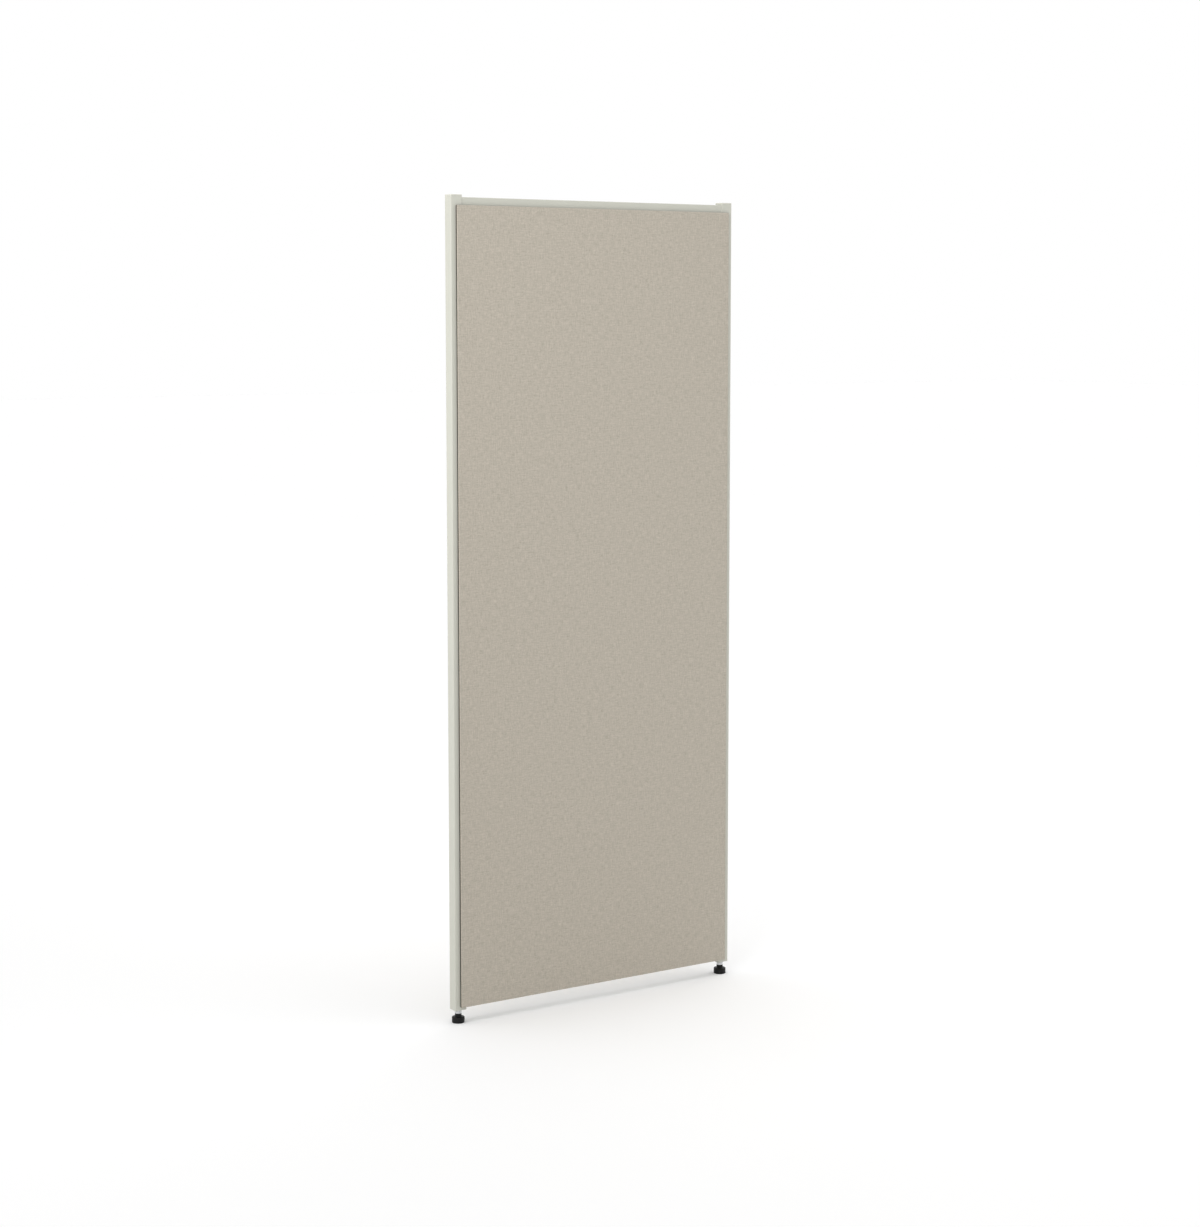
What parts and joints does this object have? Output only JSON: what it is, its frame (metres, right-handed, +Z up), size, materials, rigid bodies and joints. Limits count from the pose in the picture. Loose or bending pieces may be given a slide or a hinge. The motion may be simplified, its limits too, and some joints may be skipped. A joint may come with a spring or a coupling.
{
  "type": "partition panel",
  "caption": "Upright office partition panel: slim tubular steel frame with a fabric-covered tile on each side, capped posts and two levelling feet.",
  "frame": {"origin": "on the floor, midway between the two levelling feet and in the middle of the thickness", "axes": "+X along the width towards the right post as seen from the front, +Y from the front tile to the back tile, +Z up"},
  "size_m": [0.762, 0.0382, 1.8288],
  "materials": {
    "powder_coated_steel": "satin",
    "cap_plastic": "satin",
    "tile_fabric": "matte",
    "hardboard": "matte",
    "mineral_wool": "matte",
    "clip_nylon": "satin",
    "pad_plastic": "satin",
    "zinc_plated_steel": "satin"
  },
  "bodies": {
    "panel": {"back_tile_board": "hardboard", "back_tile_clips": "clip_nylon", "back_tile_fabric": "tile_fabric", "bottom_left_bracket": "zinc_plated_steel", "bottom_rail": "powder_coated_steel", "bottom_right_bracket": "zinc_plated_steel", "bracket_screws": "zinc_plated_steel", "front_tile_board": "hardboard", "front_tile_clips": "clip_nylon", "front_tile_fabric": "tile_fabric", "left_foot_plate": "powder_coated_steel", "left_post": "powder_coated_steel", "left_top_cap": "cap_plastic", "left_weld_nut": "zinc_plated_steel", "lower_infill": "mineral_wool", "middle_left_bracket": "zinc_plated_steel", "middle_rail": "powder_coated_steel", "middle_right_bracket": "zinc_plated_steel", "rail_screws": "zinc_plated_steel", "right_foot_plate": "powder_coated_steel", "right_post": "powder_coated_steel", "right_top_cap": "cap_plastic", "right_weld_nut": "zinc_plated_steel", "top_left_bracket": "zinc_plated_steel", "top_rail": "powder_coated_steel", "top_right_bracket": "zinc_plated_steel", "upper_infill": "mineral_wool"},
    "left_foot_pad": {"left_foot_pad": "pad_plastic"},
    "left_levelling_stem": {"left_levelling_stem": "zinc_plated_steel"},
    "right_foot_pad": {"right_foot_pad": "pad_plastic"},
    "right_levelling_stem": {"right_levelling_stem": "zinc_plated_steel"}
  },
  "joints": [
    {"name": "left_foot_travel", "type": "slide", "parent": "panel", "child": "left_foot_pad", "axis": [0, 0, -1], "range_m": [0, 0.0127]},
    {"name": "left_stem_turn", "type": "hinge", "parent": "left_foot_pad", "child": "left_levelling_stem", "pos_m": [-0.3667, 0, 0.0205], "axis": [0, 0, -1], "range_deg": [0, 2880]},
    {"name": "right_foot_travel", "type": "slide", "parent": "panel", "child": "right_foot_pad", "axis": [0, 0, -1], "range_m": [0, 0.0127]},
    {"name": "right_stem_turn", "type": "hinge", "parent": "right_foot_pad", "child": "right_levelling_stem", "pos_m": [0.3667, 0, 0.0205], "axis": [0, 0, -1], "range_deg": [0, 2880]}
  ],
  "couplings": [
    {"joint": "left_stem_turn", "follows": "left_foot_travel", "rad_per_m": 3957.9},
    {"joint": "right_stem_turn", "follows": "right_foot_travel", "rad_per_m": 3957.9}
  ]
}
